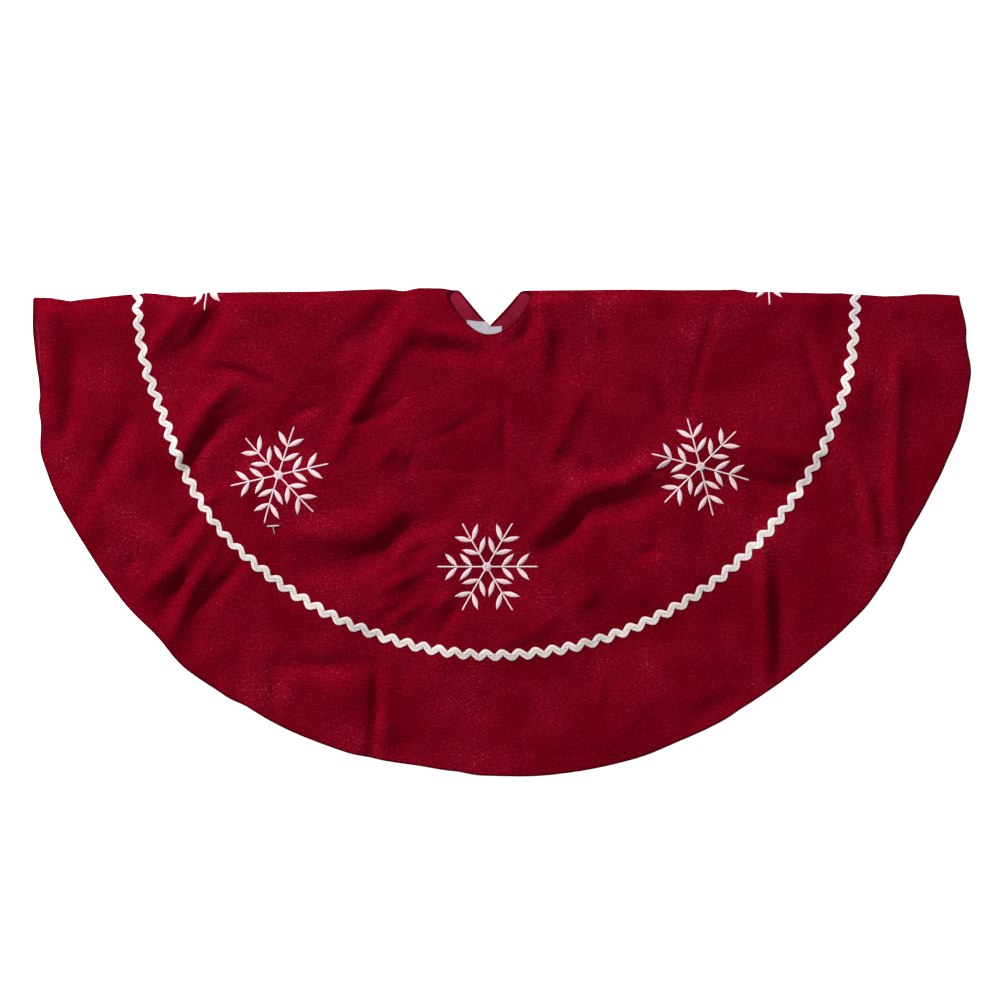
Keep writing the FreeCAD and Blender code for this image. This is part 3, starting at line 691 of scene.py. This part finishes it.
class Nodes:
    """A material's node tree, with short calls for the nodes used here."""

    def __init__(self, name):
        self.material = bpy.data.materials.new(name)
        self.material.use_nodes = True
        self.tree = self.material.node_tree
        self.shader = self.tree.nodes["Principled BSDF"]

    def node(self, kind, inputs=None, **settings):
        node = self.tree.nodes.new(kind)
        for key, value in settings.items():
            setattr(node, key, value)
        for key, value in (inputs or {}).items():
            if isinstance(value, bpy.types.NodeSocket):
                self.tree.links.new(value, node.inputs[key])
            else:
                node.inputs[key].default_value = value
        return node

    def link(self, source, target):
        self.tree.links.new(source, target)

    def set(self, **values):
        for key, value in values.items():
            self.shader.inputs[key.replace("_", " ")].default_value = value

    def pattern(self):
        return self.node("ShaderNodeAttribute", attribute_name="stitch").outputs["Vector"]

    def noise(self, vector, scale, detail=2.0, roughness=0.5):
        return self.node("ShaderNodeTexNoise", {"Vector": vector, "Scale": scale, "Detail": detail,
                                                "Roughness": roughness}).outputs["Fac"]

    def math(self, operation, first, second):
        return self.node("ShaderNodeMath", {0: first, 1: second}, operation=operation).outputs[0]

    def mixed(self, *parts):
        """Sum of sockets, each with its weight."""
        scaled = [self.math("MULTIPLY", socket, weight) for socket, weight in parts]
        total = scaled[0]
        for part in scaled[1:]:
            total = self.math("ADD", total, part)
        return total

    def ramp(self, factor, stops):
        ramp = self.node("ShaderNodeValToRGB", {"Fac": factor})
        elements = ramp.color_ramp.elements
        for index, (position, colour) in enumerate(stops):
            element = elements[index] if index < 2 else elements.new(position)
            element.position = position
            element.color = (*colour, 1)
        return ramp.outputs["Color"]

    def stretch(self, vector, scale):
        return self.node("ShaderNodeMapping", {"Vector": vector, "Scale": scale}).outputs["Vector"]

    def bump(self, height, distance, strength=1.0, after=None):
        inputs = {"Height": height, "Distance": distance, "Strength": strength}
        if after is not None:
            inputs["Normal"] = after
        return self.node("ShaderNodeBump", inputs).outputs["Normal"]

    def finish(self, colour, normal):
        self.link(colour, self.shader.inputs["Base Color"])
        self.link(normal, self.shader.inputs["Normal"])
        return self.material


def painted_edge_shade(n, flat):
    """Painted shade: a darker line along the fold, the rim and the neck, where the velvet's rounded
    edges turn away and lie in shade.
    """
    place = n.node("ShaderNodeSeparateXYZ", {"Vector": flat}).outputs
    across = n.math("ABSOLUTE", place["Y"], 0.0)
    radius = n.math("SQRT", n.math("ADD", n.math("MULTIPLY", place["X"], place["X"]),
                                   n.math("MULTIPLY", place["Y"], place["Y"])), 0.0)
    rim = n.math("SUBTRACT", SKIRT_RADIUS, radius)
    neck = n.math("SUBTRACT", radius, HOLE_RADIUS)
    fold = n.math("MULTIPLY", across, 2.5)
    nearest = n.math("MINIMUM", fold, n.math("MINIMUM", rim, neck))
    return n.node("ShaderNodeMapRange", {"Value": nearest, "From Min": 0.4 * MM,
                                         "From Max": 2.6 * MM, "To Min": 0.25,
                                         "To Max": 1.0}).outputs["Result"]


def velvet_material():
    """Deep red plush: mottled nap, fine knitted rows, a soft pink sheen on the slopes and painted
    shade along the fold, the rim and the neck.
    """
    n = Nodes("red_velvet")
    flat = n.pattern()
    clumps = n.noise(flat, 420, 3, 0.6)
    flecks = n.noise(flat, 1100, 2, 0.6)
    rows = n.noise(n.stretch(flat, (60, 700, 1)), 1.0, 2, 0.5)
    patches = n.noise(flat, 15, 4, 0.6)
    nap = n.mixed((clumps, 0.51), (flecks, 0.30), (rows, 0.09), (patches, 0.33))
    colour = n.ramp(nap, [(0.41, (0.052, 0.0001, 0.0015)), (0.62, (0.122, 0.0006, 0.006)),
                          (0.72, (0.172, 0.002, 0.012)), (0.84, (0.31, 0.040, 0.066))])
    # painted shade: the velvet's colour is mixed towards near black along the fold, the rim and the
    # neck
    shade = n.node("ShaderNodeMix", {"Factor": painted_edge_shade(n, flat), "A": (0.012, 0.0002, 0.001, 1),
                                     "B": colour}, data_type="RGBA")
    pile = n.bump(flecks, 0.9 * MM, 0.5, n.bump(clumps, 1.4 * MM, 0.5))
    n.set(Roughness=0.95, Sheen_Weight=0.25, Sheen_Roughness=0.4, Sheen_Tint=(1.0, 0.02, 0.08, 1),
          Specular_IOR_Level=0.0)
    return n.finish(shade.outputs["Result"], pile)


def lining_material():
    """Thin crimson lining with a fine plain weave."""
    n = Nodes("crimson_lining")
    flat = n.pattern()
    warp = n.noise(n.stretch(flat, (2400, 300, 1)), 1.0, 1)
    weft = n.noise(n.stretch(flat, (300, 2400, 1)), 1.0, 1)
    weave = n.math("ADD", warp, weft)
    shade = n.mixed((weave, 0.3), (n.noise(flat, 40, 3), 0.4))
    colour = n.ramp(shade, [(0.35, (0.10, 0.002, 0.012)), (0.70, (0.23, 0.008, 0.034))])
    n.set(Roughness=0.7, Sheen_Weight=0.15, Sheen_Tint=(1.0, 0.03, 0.1, 1), Specular_IOR_Level=0.03)
    return n.finish(colour, n.bump(weave, 0.2 * MM, 0.6))


def thread_material(name, dark, light, pitch, roughness=0.5, slant=0.0, painted_groove_shade=0.0):
    """White thread: fine parallel strands across the piece, from its own stitch coordinates.

    Given a groove width, the middle of the band is painted darker over that width: painted shade in
    the braid's groove.
    """
    n = Nodes(name)
    place = n.pattern()
    turned = n.node("ShaderNodeMapping",
                    {"Vector": place, "Rotation": (0, 0, slant)}).outputs["Vector"]
    strands = n.node("ShaderNodeTexWave", {"Vector": turned, "Scale": 1 / (pitch * math.pi),
                                           "Distortion": 0.8, "Detail": 1.0, "Detail Scale": 2.0},
                     wave_type="BANDS", bands_direction="X").outputs["Fac"]
    uneven = n.noise(place, 500, 2)
    shade = n.mixed((strands, 0.6), (uneven, 0.4))
    # painted shade: the middle of the band goes to the dark colour, as shade in its groove
    if painted_groove_shade:
        parted = n.node("ShaderNodeSeparateXYZ", {"Vector": place}).outputs
        across = n.math("ABSOLUTE", parted["Y"], 0.0)
        clear_of_painted_groove = n.node("ShaderNodeMapRange", {"Value": across, "From Min": 0.25 * painted_groove_shade,
                                                  "From Max": painted_groove_shade, "To Min": 0.0, "To Max": 1.0})
        shade = n.math("MULTIPLY", shade, clear_of_painted_groove.outputs["Result"])
    colour = n.ramp(shade, [(0.0 if painted_groove_shade else 0.15, dark), (0.45 if painted_groove_shade else 0.75, light)])
    n.set(Roughness=roughness, Sheen_Weight=0.1, Specular_IOR_Level=0.25)
    return n.finish(colour, n.bump(strands, 0.25 * MM, 0.7))


def nylon_material():
    n = Nodes("milky_nylon")
    place = n.node("ShaderNodeTexCoord").outputs["Object"]
    cloud = n.noise(place, 900, 2)
    colour = n.ramp(cloud, [(0.3, (0.62, 0.52, 0.56)), (0.7, (0.78, 0.68, 0.72))])
    n.set(Roughness=0.35, Transmission_Weight=0.55, IOR=1.5, Specular_IOR_Level=0.5)
    return n.finish(colour, n.bump(cloud, 0.05 * MM, 0.4))


def pad_material(name, dark, light):
    """Hook-and-loop tape: a dense field of tiny loops or hooks."""
    n = Nodes(name)
    cells = n.node("ShaderNodeTexVoronoi",
                   {"Vector": n.pattern(), "Scale": 1100.0}).outputs["Distance"]
    colour = n.ramp(cells, [(0.1, light), (0.7, dark)])
    n.set(Roughness=0.8, Specular_IOR_Level=0.3)
    return n.finish(colour, n.bump(cells, 0.4 * MM, 0.8))


VELVET_RED = velvet_material()
LINING_RED = lining_material()
# the rickrack's middle is painted darker, as shade in its groove
BRAID_WHITE = thread_material("rickrack_white", (0.44, 0.41, 0.40), (0.64, 0.545, 0.54),
                              0.9 * MM, 0.8, 0.9, painted_groove_shade=1.2 * MM)
STITCH_WHITE = thread_material("sewing_thread", (0.26, 0.28, 0.27), (0.46, 0.48, 0.46),
                               0.5 * MM, 0.7, 0.5)
SATIN_WHITE = thread_material("satin_stitch", (0.44, 0.30, 0.335), (0.84, 0.63, 0.675),
                              0.55 * MM, 0.5)
LABEL_WHITE = thread_material("label_satin", (0.34, 0.33, 0.37), (0.46, 0.44, 0.49), 0.35 * MM, 0.4)
NYLON = nylon_material()
HOOK_WHITE = pad_material("hook_tape", (0.30, 0.30, 0.31), (0.66, 0.66, 0.67))
LOOP_WHITE = pad_material("loop_tape", (0.45, 0.44, 0.44), (0.74, 0.73, 0.72))


# --- trim: patterns on the flat cloth, then laid and divided between the two halves ------------

# Which faces of a flat pattern belong to each part of the skirt.
PARTS = {
    "front": lambda u, v: v < -FOLD_RUN,
    "fold_left": lambda u, v: abs(v) < FOLD_RUN and u < 0,
    "fold_right": lambda u, v: abs(v) < FOLD_RUN and u > 0,
    "back_left": lambda u, v: v > FOLD_RUN and u < 0,
    "back_right": lambda u, v: v > FOLD_RUN and u > 0,
}


def flat_mesh(pattern):
    """The pattern as one bmesh, cut where it goes round the fold so that it can bend there."""
    points, faces, marks = pattern.arrays()
    whole = bmesh.new()
    layer = whole.verts.layers.float_vector.new("stitch")
    corners = []
    for point, mark in zip(points, marks):
        vertex = whole.verts.new(point)
        vertex[layer] = (mark[0], mark[1], 0)
        corners.append(vertex)
    for face in faces:
        whole.faces.new([corners[index] for index in face])
    for cut in np.linspace(-FOLD_RUN, FOLD_RUN, TRIM_FOLD_STEPS + 1):
        everything = whole.verts[:] + whole.edges[:] + whole.faces[:]
        bmesh.ops.bisect_plane(whole, geom=everything, plane_co=(0, cut, 0), plane_no=(0, 1, 0),
                               dist=1e-7)
    return whole


def keep_part(whole, belongs):
    """Copy of the faces of one part, closed again where it was cut."""
    share = whole.copy()
    outside = [face for face in share.faces if not belongs(*face.calc_center_median().xy)]
    bmesh.ops.delete(share, geom=outside, context="FACES")
    open_edges = [edge for edge in share.edges if edge.is_boundary]
    if open_edges:
        bmesh.ops.holes_fill(share, edges=open_edges)
    bmesh.ops.recalc_face_normals(share, faces=share.faces)
    return share


def ride_part(obj, part):
    if part.startswith("fold"):
        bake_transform(obj)
    else:
        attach(obj, FRONT_BODY if part == "front" else BACK_BODY)


def lay_trim(name, pattern, material, nodes):
    """Lay a flat pattern on the skirt, one piece for each part it touches. Returns the pieces."""
    whole = flat_mesh(pattern)
    pieces = []
    for part, belongs in PARTS.items():
        share = keep_part(whole, belongs)
        if share.faces:
            laid = drape([vertex.co for vertex in share.verts])
            for vertex, place in zip(share.verts, laid):
                vertex.co = place
            piece_name = f"{name}_{part}"
            mesh = bpy.data.meshes.new(piece_name)
            share.to_mesh(mesh)
            mesh.materials.append(material)
            mesh.shade_smooth()
            mesh.set_sharp_from_angle(angle=TRIM_SHARP)
            obj = link_object(piece_name, mesh)
            ride_part(obj, part)
            if part in nodes:
                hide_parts(nodes[part])
            pieces.append(obj)
        share.free()
    whole.free()
    return pieces


def slab(pattern, top, marks, rows, columns, floor):
    """Closed slab under a grid of top points: the same grid at the floor height, and its walls."""
    bottom = top.copy()
    bottom[:, 2] = floor
    points = np.concatenate([top, bottom])
    upper = strip_faces(rows, columns)
    lower = upper[:, ::-1] + rows * columns
    edge = [(0, j) for j in range(columns)] + [(i, columns - 1) for i in range(1, rows)]
    edge += [(rows - 1, j) for j in range(columns - 2, -1, -1)]
    edge += [(i, 0) for i in range(rows - 2, 0, -1)]
    ring = np.array([i * columns + j for i, j in edge])
    following = np.roll(ring, -1)
    walls = np.stack([ring, following, following + rows * columns, ring + rows * columns], axis=-1)
    pattern.add(points, np.concatenate([upper, lower, walls]), np.concatenate([marks, marks]))


def braid_pattern(first_wave, last_wave):
    """Rickrack from one wave to another, counted round the circle from +u."""
    pattern = Pattern()
    wave = 2 * math.pi * BRAID_RADIUS / WAVES
    steps, across = 18, 8
    side = np.linspace(-1, 1, across + 1)
    count = round((last_wave - first_wave) * steps) + 1
    phase = 2 * math.pi * np.linspace(first_wave, last_wave, count)[:, None]
    along = phase / (2 * math.pi) * wave
    out = BRAID_SWING * (np.cos(phase) + 0.04 * np.cos(3 * phase))
    slope = -BRAID_SWING * (np.sin(phase) + 0.12 * np.sin(3 * phase)) * 2 * math.pi / wave
    stand = 1 / np.sqrt(1 + slope ** 2)
    lean = -slope * stand
    width = side * BRAID_WIDTH / 2
    distance = along + width * lean
    radius = BRAID_RADIUS + out + width * stand
    angle = distance / BRAID_RADIUS
    dome = 0.55 + 0.45 * np.sqrt(1 - 0.94 * side ** 2)
    dome = dome - 0.14 * np.exp(-(side / 0.14) ** 2)
    dome = dome - 0.08 * np.exp(-((abs(side) - 0.55) / 0.12) ** 2)
    top = grid_points(radius * np.cos(angle), radius * np.sin(angle), BRAID_HEIGHT * dome)
    slab(pattern, top, grid_points(along, width), count, across + 1, -0.25 * MM)
    return pattern


def stitch_pattern(first, last):
    """Running stitches on the rickrack, along the middle of the band's circle."""
    pattern = Pattern()
    stitch, gap, width = 3.0 * MM, 0.9 * MM, 0.55 * MM
    count = int((last - first) * BRAID_RADIUS / (stitch + gap))
    pitch = (last - first) / count
    rows, columns = 6, 4
    side = np.linspace(-1, 1, columns)
    share = np.linspace(0, 1, rows)[:, None]
    radius = BRAID_RADIUS + side * width / 2
    lift = BRAID_HEIGHT * (0.80 + 0.30 * np.sin(math.pi * share)) + 0.12 * MM * (1 - side ** 2)
    for index in range(count):
        angle = first + (index + share * stitch / (stitch + gap)) * pitch
        top = grid_points(radius * np.cos(angle), radius * np.sin(angle), lift)
        slab(pattern, top, grid_points(share * stitch, side * width), rows, columns, 0.3 * MM)
    return pattern


def flake_arm():
    """Satin-stitched arm along +u: its points, rows and columns."""
    rows, columns = 40, 5
    along = np.linspace(0.4 * KNOT_RADIUS, ARM_LENGTH, rows)[:, None]
    side = np.linspace(-1, 1, columns)[None]
    slim = np.minimum(1, (ARM_LENGTH - along) / (1.2 * MM) + 0.35)
    width = ARM_WIDTH / 2 * slim * (1 + 0.10 * np.cos(2 * math.pi * along / (2.4 * MM)))
    height = 0.62 * MM * np.sqrt(1 - 0.9 * side ** 2) * (0.8 + 0.2 * slim)
    return grid_points(along, width * side, height), rows, columns


def flake_leaf():
    """Satin-stitched leaf along +u: its points, rows and columns."""
    rows, columns = 30, 9
    share = np.linspace(0, 1, rows)[:, None]
    side = np.linspace(-1, 1, columns)[None]
    swell = (4 * share * (1 - share)) ** 1.15 * (1 + 0.16 * (share - 0.5))
    width = LEAF_WIDTH / 2 * np.maximum(swell, 0.08)
    ridge = 0.9 + 0.1 * np.cos(2 * math.pi * share * LEAF_LENGTH / (1.2 * MM) + 2.2 * side)
    height = 0.8 * MM * np.sqrt(1 - 0.88 * side ** 2) * (0.4 + 0.6 * swell) * ridge
    return grid_points(share * LEAF_LENGTH, width * side, height), rows, columns


def put_stitches(pattern, stitches, heading, start):
    """Add an arm or a leaf, turned to its heading and moved to where it starts."""
    local, rows, columns = stitches
    c, s = math.cos(heading), math.sin(heading)
    x = start[0] + c * local[:, 0] - s * local[:, 1]
    y = start[1] + s * local[:, 0] + c * local[:, 1]
    slab(pattern, grid_points(x, y, local[:, 2]), local[:, :2], rows, columns, UNDER_STITCHES)


def add_knot(pattern, place, turn):
    """Button at the middle of a snowflake: a ring of spokes over a flat underside."""
    rows, columns = 36, 7
    angle = np.linspace(0, 2 * math.pi, rows, endpoint=False)[:, None]
    share = np.linspace(0.04, 1, columns)[None]
    radius = KNOT_RADIUS * share * (1 + 0.07 * np.cos(6 * (angle - turn)))
    height = MM * (1.05 * np.sqrt(1 - 0.85 * share ** 2) - 0.35 * np.exp(-(share / 0.22) ** 2))
    top = grid_points(place[0] + radius * np.cos(angle), place[1] + radius * np.sin(angle), height)
    marks = grid_points(KNOT_RADIUS * angle, radius)
    count = rows * columns
    rim = [row * columns + columns - 1 for row in range(rows)]
    bottom = top[rim]
    bottom[:, 2] = UNDER_STITCHES
    faces = list(strip_faces(rows, columns, closed=True))
    faces += [(rim[row], count + row, count + (row + 1) % rows, rim[(row + 1) % rows])
              for row in range(rows)]
    faces += [range(0, count, columns), range(count + rows - 1, count - 1, -1)]
    pattern.add(np.concatenate([top, bottom]), faces, np.concatenate([marks, marks[rim]]))


def flake_pattern(place, turn):
    """Six-armed snowflake in satin stitch, about its place on the flat pattern."""
    pattern = Pattern()
    for arm in range(6):
        heading = turn + arm * math.pi / 3
        axis = np.array([math.cos(heading), math.sin(heading)])
        put_stitches(pattern, flake_arm(), heading, place)
        for base in LEAF_BASES:
            for hand in (1, -1):
                leaning = heading + hand * LEAF_ANGLE
                put_stitches(pattern, flake_leaf(), leaning, place + base * axis)
    add_knot(pattern, place, turn)
    return pattern


# --- the pieces -------------------------------------------------------------------------------

HALF_OF = {"front": "front", "fold_left": "fold", "fold_right": "fold",
           "back_left": "back", "back_right": "back"}

velvet_profile = shell_profile(HOLE_RADIUS, SKIRT_RADIUS, 0.0, -VELVET, 1.1 * MM,
                               (NECK_LIP, LINING_INSET))
lining_profile = shell_profile(HOLE_RADIUS + NECK_LIP, SKIRT_RADIUS - LINING_INSET,
                               -VELVET, -VELVET - LINING, LINING / 2, (LINING, LINING))
velvet = build_cloth("velvet", velvet_profile, VELVET_RED)
lining = build_cloth("lining", lining_profile, LINING_RED)

CUT_PARTS = ("front", "back_left", "back_right")


def nodes_of(thing):
    """The CAD nodes that a layer or a trim stands for, one on each part that has its own."""
    return {part: f"{part}_{thing}" for part in CUT_PARTS}


for layer, pieces in (("velvet", velvet), ("lining", lining)):
    for name, obj in pieces.items():
        ride_part(obj, HALF_OF[name])
    for part, node in nodes_of(layer).items():
        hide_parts(node)

# The rickrack runs from the slit, round the front, back to the slit.
braid_ends = (WAVES // 4 + 0.5, 5 * WAVES // 4 - 0.5)
braid = lay_trim("rickrack", braid_pattern(*braid_ends), BRAID_WHITE, nodes_of("rickrack"))
thread_ends = [end * 2 * math.pi / WAVES for end in braid_ends]
threads = lay_trim("rickrack_thread", stitch_pattern(*thread_ends), STITCH_WHITE,
                   nodes_of("rickrack_thread"))

FLAKES = {
    -3: ("snowflake_back_left", {"back_left": "snowflake_back_left"}),
    -2: ("snowflake_left", {"front": "snowflake_left_tip", "back_left": "snowflake_left_main"}),
    -1: ("snowflake_front_left", {"front": "snowflake_front_left"}),
    0: ("snowflake_front_centre", {"front": "snowflake_front_centre"}),
    1: ("snowflake_front_right", {"front": "snowflake_front_right"}),
    2: ("snowflake_right", {"front": "snowflake_right_tip", "back_right": "snowflake_right_main"}),
    3: ("snowflake_back_right", {"back_right": "snowflake_back_right"}),
}
TWISTS = {-1: math.radians(-2.2)}                          # turn beyond its place in the ring
flakes = []
for step, (name, nodes) in FLAKES.items():
    around = 1.5 * math.pi + step * RING_STEP
    place = RING_RADIUS * np.array([math.cos(around), math.sin(around)])
    turn = step * FLAKE_TURN + TWISTS.get(step, 0)
    flakes += lay_trim(name, flake_pattern(place, turn), SATIN_WHITE, nodes)


# --- closure between the halves, at the slit --------------------------------------------------

def tile(node, near, far, spacing=2 * MM):
    """Flat piece over a node's footprint on the back half, between two heights above the ground."""
    low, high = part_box(node)
    across = np.linspace(low.x, high.x, round((high.x - low.x) / spacing) + 1)
    along = np.linspace(-high.y, -low.y, round((high.y - low.y) / spacing) + 1)
    U, V = np.meshgrid(across, along, indexing="ij")
    pattern = Pattern()
    top = grid_points(U, V, -far(U))
    slab(pattern, top, top[:, :2], len(across), len(along), -near(U).reshape(-1))
    return pattern


def solid(name, pattern, material, half, node):
    """One closed piece from a flat pattern, riding with one half."""
    points, faces, marks = pattern.arrays()
    obj = make_object(name, drape(points), faces, marks, material)
    close_mesh(obj)
    ride_part(obj, half)
    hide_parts(node)
    return obj


def level(height):
    return lambda u: np.full(u.shape, height)


def lap_over(low, high):
    """Height that steps up from the left edge of the slit onto the pads at its right."""
    def height(u):
        share = np.clip((u + 5 * MM) / (11 * MM), 0, 1)
        return low + (high - low) * share ** 2 * (3 - 2 * share)
    return height


tabs = []
for number in (1, 2, 3):
    tab_low, tab_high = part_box(f"closure_tab_{number}")
    pad_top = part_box(f"hook_pad_{number}")[1].z
    thick = tab_high.z - pad_top
    tab = tile(f"closure_tab_{number}", lap_over(tab_low.z, pad_top),
               lap_over(tab_low.z + thick, tab_high.z))
    tabs.append(solid(f"closure_tab_{number}_cloth", tab, LINING_RED, "back_left",
                      f"closure_tab_{number}"))
    for kind, material in (("hook_pad", HOOK_WHITE), ("loop_pad", LOOP_WHITE)):
        low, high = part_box(f"{kind}_{number}")
        pad = tile(f"{kind}_{number}", level(low.z), level(high.z))
        solid(f"{kind}_{number}_tape", pad, material, "back_left",
              f"{kind}_{number}")


# --- care label at the neck -------------------------------------------------------------------

def pattern_place(x, y):
    """Pattern point that is laid at a place on the front half."""
    u, v = np.array([x]), np.array([y])
    for _ in range(12):
        there = surface(u, v)
        u = u + x - there[:, 0]
        v = v + y - there[:, 1]
    return np.array([u[0], v[0]])


def label_pattern():
    """Blank ribbon label; its upper edge steps down at the right, where it is turned over."""
    low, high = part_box("care_label")
    across = np.linspace(low.x, high.x, 45)
    step = 0.5 * (1 + np.tanh((across - (low.x + 0.66 * (high.x - low.x))) / (1.2 * MM)))
    upper_edge = high.y - 4.6 * MM * step
    share = np.linspace(0, 1, 26)
    place = pattern_place((low.x + high.x) / 2, high.y)
    U = across[:, None] - (low.x + high.x) / 2 + place[0]
    V = low.y + (upper_edge[:, None] - low.y) * share + place[1] - high.y
    curl = 0.5 * MM * share ** 3 - 0.35 * MM * step[:, None] * share
    ripple = 0.12 * MM * np.sin(across[:, None] * 520) * share
    lower = low.z - STACK + curl + ripple
    pattern = Pattern()
    top = grid_points(U, V, lower + (high.z - low.z))
    slab(pattern, top, top[:, :2], len(across), len(share), lower.reshape(-1))
    return pattern


label = solid("care_label_ribbon", label_pattern(), LABEL_WHITE, "front", "care_label")


# --- tag fastener -----------------------------------------------------------------------------

def tube(pattern, path, radii, segments=14):
    """Closed round tube along a path, rounded at its ends by its radii."""
    ahead = np.gradient(path, axis=0)
    ahead /= np.linalg.norm(ahead, axis=1)[:, None]
    side = np.cross(ahead, (0, 0, 1))
    side /= np.linalg.norm(side, axis=1)[:, None]
    up = np.cross(side, ahead)
    angle = np.linspace(0, 2 * math.pi, segments, endpoint=False)
    ring = np.cos(angle)[None, :, None] * side[:, None] + np.sin(angle)[None, :, None] * up[:, None]
    points = (path[:, None] + radii[:, None, None] * ring).reshape(-1, 3)
    last = (len(path) - 1) * segments
    caps = [range(segments - 1, -1, -1), range(last, last + segments)]
    pattern.add(points, [*hose_faces(len(path), segments), *caps])


def fastener_pattern():
    """T-shaped nylon fastener: its bar lies on the pile and its filament runs down into it."""
    low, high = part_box("tag_fastener")
    middle = pattern_place((low.x + high.x) / 2, high.y - 0.6 * MM)
    half_bar = (high.x - low.x) / 2
    ease = np.sin(np.linspace(-math.pi / 2, math.pi / 2, 17))
    end = np.sqrt(np.clip(1 - ease ** 2, 0, 1)) ** 0.35
    bar = grid_points(middle[0] + half_bar * ease, middle[1] + 0.07 * half_bar * ease,
                      0.75 * MM + 0.15 * MM * ease ** 2)
    length = (high.y - low.y) - 0.6 * MM
    share = np.linspace(0, 1, 12)
    filament = grid_points(middle[0] + 0.2 * MM * share, middle[1] - length * share,
                           0.8 * MM - 1.1 * MM * share ** 3)
    pattern = Pattern()
    tube(pattern, bar, 0.75 * MM * (0.25 + 0.75 * end))
    tube(pattern, filament, 0.38 * MM * (1 + 0.25 * share))
    return pattern


fastener = solid("tag_fastener_nylon", fastener_pattern(), NYLON, "front",
                 "tag_fastener")


# --- the box of each closure tab's node, read again -------------------------------------------


for tab in tabs:
    low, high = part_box(tab.name.removesuffix("_cloth"))


# --- floor, light and camera ------------------------------------------------------------------

def floor_material():
    n = Nodes("white_sweep")
    cloud = n.noise(n.node("ShaderNodeTexCoord").outputs["Object"], 3, 2)
    colour = n.ramp(cloud, [(0.2, (0.86, 0.86, 0.86)), (0.8, (0.88, 0.88, 0.88))])
    n.set(Roughness=0.9, Specular_IOR_Level=0.0, Emission_Color=(1, 1, 1, 1), Emission_Strength=0.8)
    return n.finish(colour, n.bump(cloud, 0.01 * MM))


bpy.ops.mesh.primitive_plane_add(size=14, location=(0, -0.2, 0))
floor = bpy.context.object
floor.name = "floor"
floor.data.materials.append(floor_material())

VIEW_CENTRE = Vector((3.8 * MM, -197.2 * MM, STACK))     # the camera looks straight down at it
VIEW_WIDTH = 0.955                                      # width of the view at that height, metres


def soft_box(name, place, power, size):
    light = bpy.data.lights.new(name, "AREA")
    light.energy, light.size = power, size
    obj = link_object(name, light)
    obj.location = VIEW_CENTRE + Vector(place)
    obj.rotation_euler = (-Vector(place)).to_track_quat("-Z", "Y").to_euler()


soft_box("key", (-2.5, 2.9, 1.8), 405, 0.42)
soft_box("fill", (1.4, -1.0, 2.2), 3, 1.6)

world = bpy.context.scene.world or bpy.data.worlds.new("studio")
bpy.context.scene.world = world
world.use_nodes = True
world.node_tree.nodes["Background"].inputs["Color"].default_value = (1, 1, 1, 1)
world.node_tree.nodes["Background"].inputs["Strength"].default_value = 0.5

lens = bpy.data.cameras.new("camera")
lens.lens, lens.sensor_width = 85, 36
camera = link_object("camera", lens)
camera.location = VIEW_CENTRE + Vector((0, 0, VIEW_WIDTH * lens.lens / lens.sensor_width))
bpy.context.scene.camera = camera
bpy.context.scene.view_settings.view_transform = "Standard"
